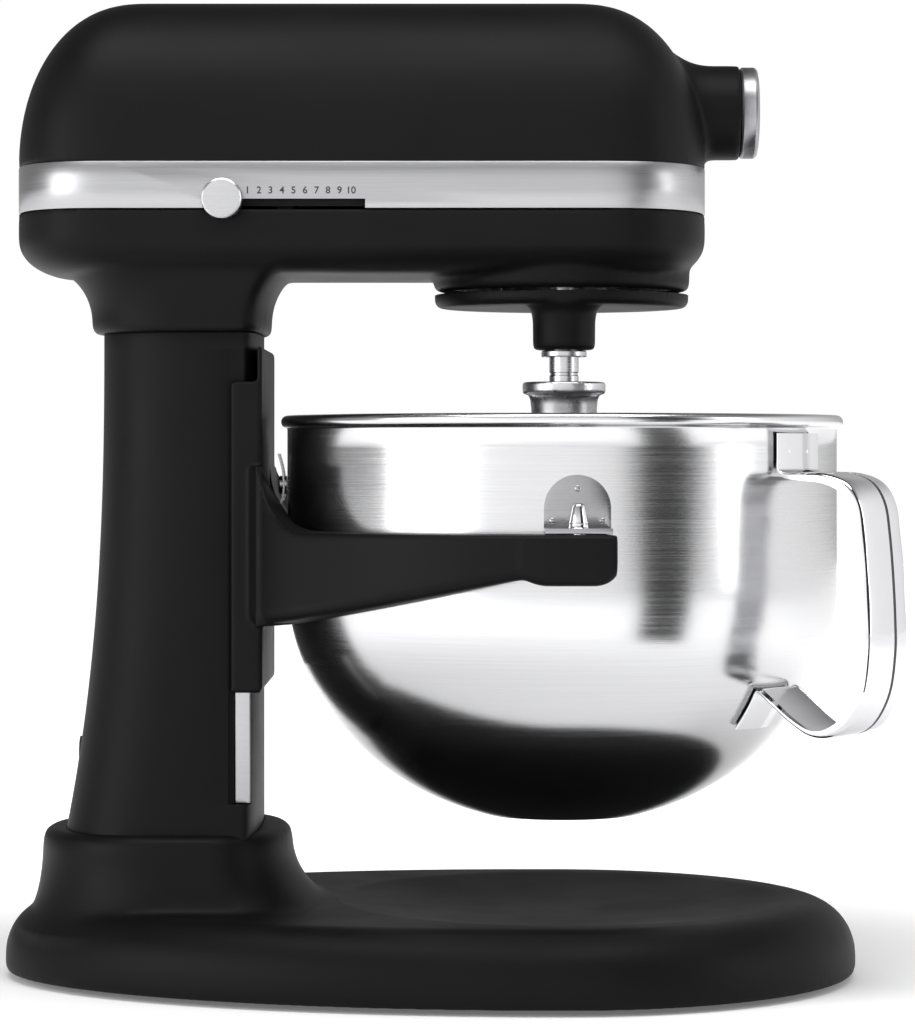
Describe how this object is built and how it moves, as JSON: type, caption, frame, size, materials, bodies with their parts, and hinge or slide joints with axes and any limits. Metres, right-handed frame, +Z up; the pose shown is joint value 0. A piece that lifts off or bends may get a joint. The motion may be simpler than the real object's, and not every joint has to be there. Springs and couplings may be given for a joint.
{
  "type": "stand mixer",
  "caption": "Bowl-lift stand mixer: cast column and head, planetary flat beater, steel bowl with strap handle, lift carriage, speed slider and attachment hub.",
  "frame": {"origin": "bottom centre of the whole mixer's bounding box, on the surface it stands on", "axes": "+X towards the front (bowl handle and attachment hub), +Y towards the lift lever's side, +Z up"},
  "size_m": [0.38, 0.287, 0.4193],
  "materials": {
    "cast_paint": "satin black paint on cast metal, very fine texture",
    "frame_paint": "plain dark paint",
    "band_metal": "brushed along its length",
    "stainless": "stainless steel brushed round the bowl",
    "polished_steel": "polished bright",
    "beater_metal": "burnished cast metal",
    "machined_steel": "turned and ground steel",
    "brass": "plain bearing metal",
    "copper": "windings and copper segments",
    "rubber": "matte black rubber",
    "plastic": "moulded black plastic"
  },
  "bodies": {
    "root": {"base": "cast_paint", "rubber_foot_1": "rubber", "rubber_foot_2": "rubber", "rubber_foot_3": "rubber", "rubber_foot_4": "rubber", "rubber_foot_5": "rubber", "column": "cast_paint", "column_bolt_1": "machined_steel", "column_bolt_2": "machined_steel", "guide_rail_left": "band_metal", "guide_rail_right": "band_metal", "cord_bush": "rubber", "lower_housing": "cast_paint", "planetary_bush": "brass", "upper_housing": "cast_paint", "trim_band": "band_metal", "control_board": "plastic", "motor_stator": "machined_steel", "brush_holder_left": "brass", "brush_holder_right": "brass", "motor_bearing_rear": "machined_steel", "motor_bearing_front": "machined_steel", "motor_end_plate": "frame_paint", "gear_plate": "machined_steel", "idler_bush": "brass", "ring_gear": "machined_steel"},
    "armature": {"armature": "copper", "motor_shaft": "machined_steel", "commutator": "copper", "cooling_fan": "plastic"},
    "idler": {"idler_gear": "machined_steel", "idler_shaft": "machined_steel"},
    "hub_drive": {"hub_gear": "machined_steel", "hub_drive_shaft": "machined_steel"},
    "planetary": {"planetary_head": "cast_paint", "planetary_shaft": "machined_steel", "crown_gear": "machined_steel"},
    "beater_drive": {"beater_shaft": "machined_steel", "planet_pinion": "machined_steel", "beater_pin": "machined_steel", "shaft_washer": "machined_steel"},
    "beater": {"flat_beater": "beater_metal"},
    "hub_cap": {"hub_cap": "band_metal"},
    "thumbscrew": {"hub_thumbscrew": "plastic"},
    "speed_lever": {"speed_knob": "band_metal", "speed_arm": "plastic"},
    "carriage": {"bowl_yoke": "cast_paint", "locating_pin_left": "polished_steel", "locating_pin_right": "polished_steel", "latch_spring": "machined_steel", "lift_tongue": "machined_steel"},
    "bowl": {"bowl": "stainless", "bowl_bracket_left": "stainless", "bowl_bracket_right": "stainless", "bowl_handle": "polished_steel", "bowl_stud": "machined_steel"},
    "lift": {"lift_crank": "machined_steel", "lift_lever": "machined_steel", "lift_grip": "plastic"}
  },
  "joints": [
    {"name": "bowl_lift", "type": "slide", "parent": "root", "child": "carriage", "axis": [0, 0, 1], "range_m": [-0.038, 0]},
    {"name": "lift_lever", "type": "hinge", "parent": "root", "child": "lift", "pos_m": [-0.10733, 0.06, 0.172], "axis": [0, 1, 0], "range_deg": [-90, 0]},
    {"name": "bowl_off", "type": "slide", "parent": "carriage", "child": "bowl", "axis": [0, 0, 1], "range_m": [0, 0.013]},
    {"name": "speed_lever", "type": "slide", "parent": "root", "child": "speed_lever", "axis": [1, 0, 0], "range_m": [0, 0.056]},
    {"name": "planetary_spin", "type": "hinge", "parent": "root", "child": "planetary", "pos_m": [0.04967, 0, 0.3], "axis": [0, 0, 1], "continuous": true},
    {"name": "beater_spin", "type": "hinge", "parent": "planetary", "child": "beater_drive", "pos_m": [0.04967, -0.038, 0.28], "axis": [0, 0, 1], "continuous": true},
    {"name": "beater_push", "type": "slide", "parent": "beater_drive", "child": "beater", "axis": [0, 0, 1], "range_m": [0, 0.006]},
    {"name": "hub_cap_off", "type": "slide", "parent": "root", "child": "hub_cap", "axis": [1, 0, 0], "range_m": [0, 0.03]},
    {"name": "thumbscrew_turn", "type": "hinge", "parent": "root", "child": "thumbscrew", "pos_m": [0.11667, 0.028, 0.3735], "axis": [0, 1, 0], "range_deg": [0, 720]},
    {"name": "motor_spin", "type": "hinge", "parent": "root", "child": "armature", "pos_m": [-0.12033, 0, 0.34175], "axis": [1, 0, 0], "continuous": true},
    {"name": "idler_spin", "type": "hinge", "parent": "root", "child": "idler", "pos_m": [-0.03033, 0, 0.3655], "axis": [1, 0, 0], "continuous": true},
    {"name": "hub_drive_spin", "type": "hinge", "parent": "root", "child": "hub_drive", "pos_m": [0.08967, 0, 0.3735], "axis": [1, 0, 0], "continuous": true}
  ],
  "couplings": [
    {"joint": "lift_lever", "follows": "bowl_lift", "rad_per_m": 41.33},
    {"joint": "beater_spin", "follows": "planetary_spin", "ratio": -5.75},
    {"joint": "idler_spin", "follows": "planetary_spin", "ratio": -2.2857},
    {"joint": "motor_spin", "follows": "planetary_spin", "ratio": 6.4},
    {"joint": "hub_drive_spin", "follows": "planetary_spin", "ratio": 1.4545}
  ]
}
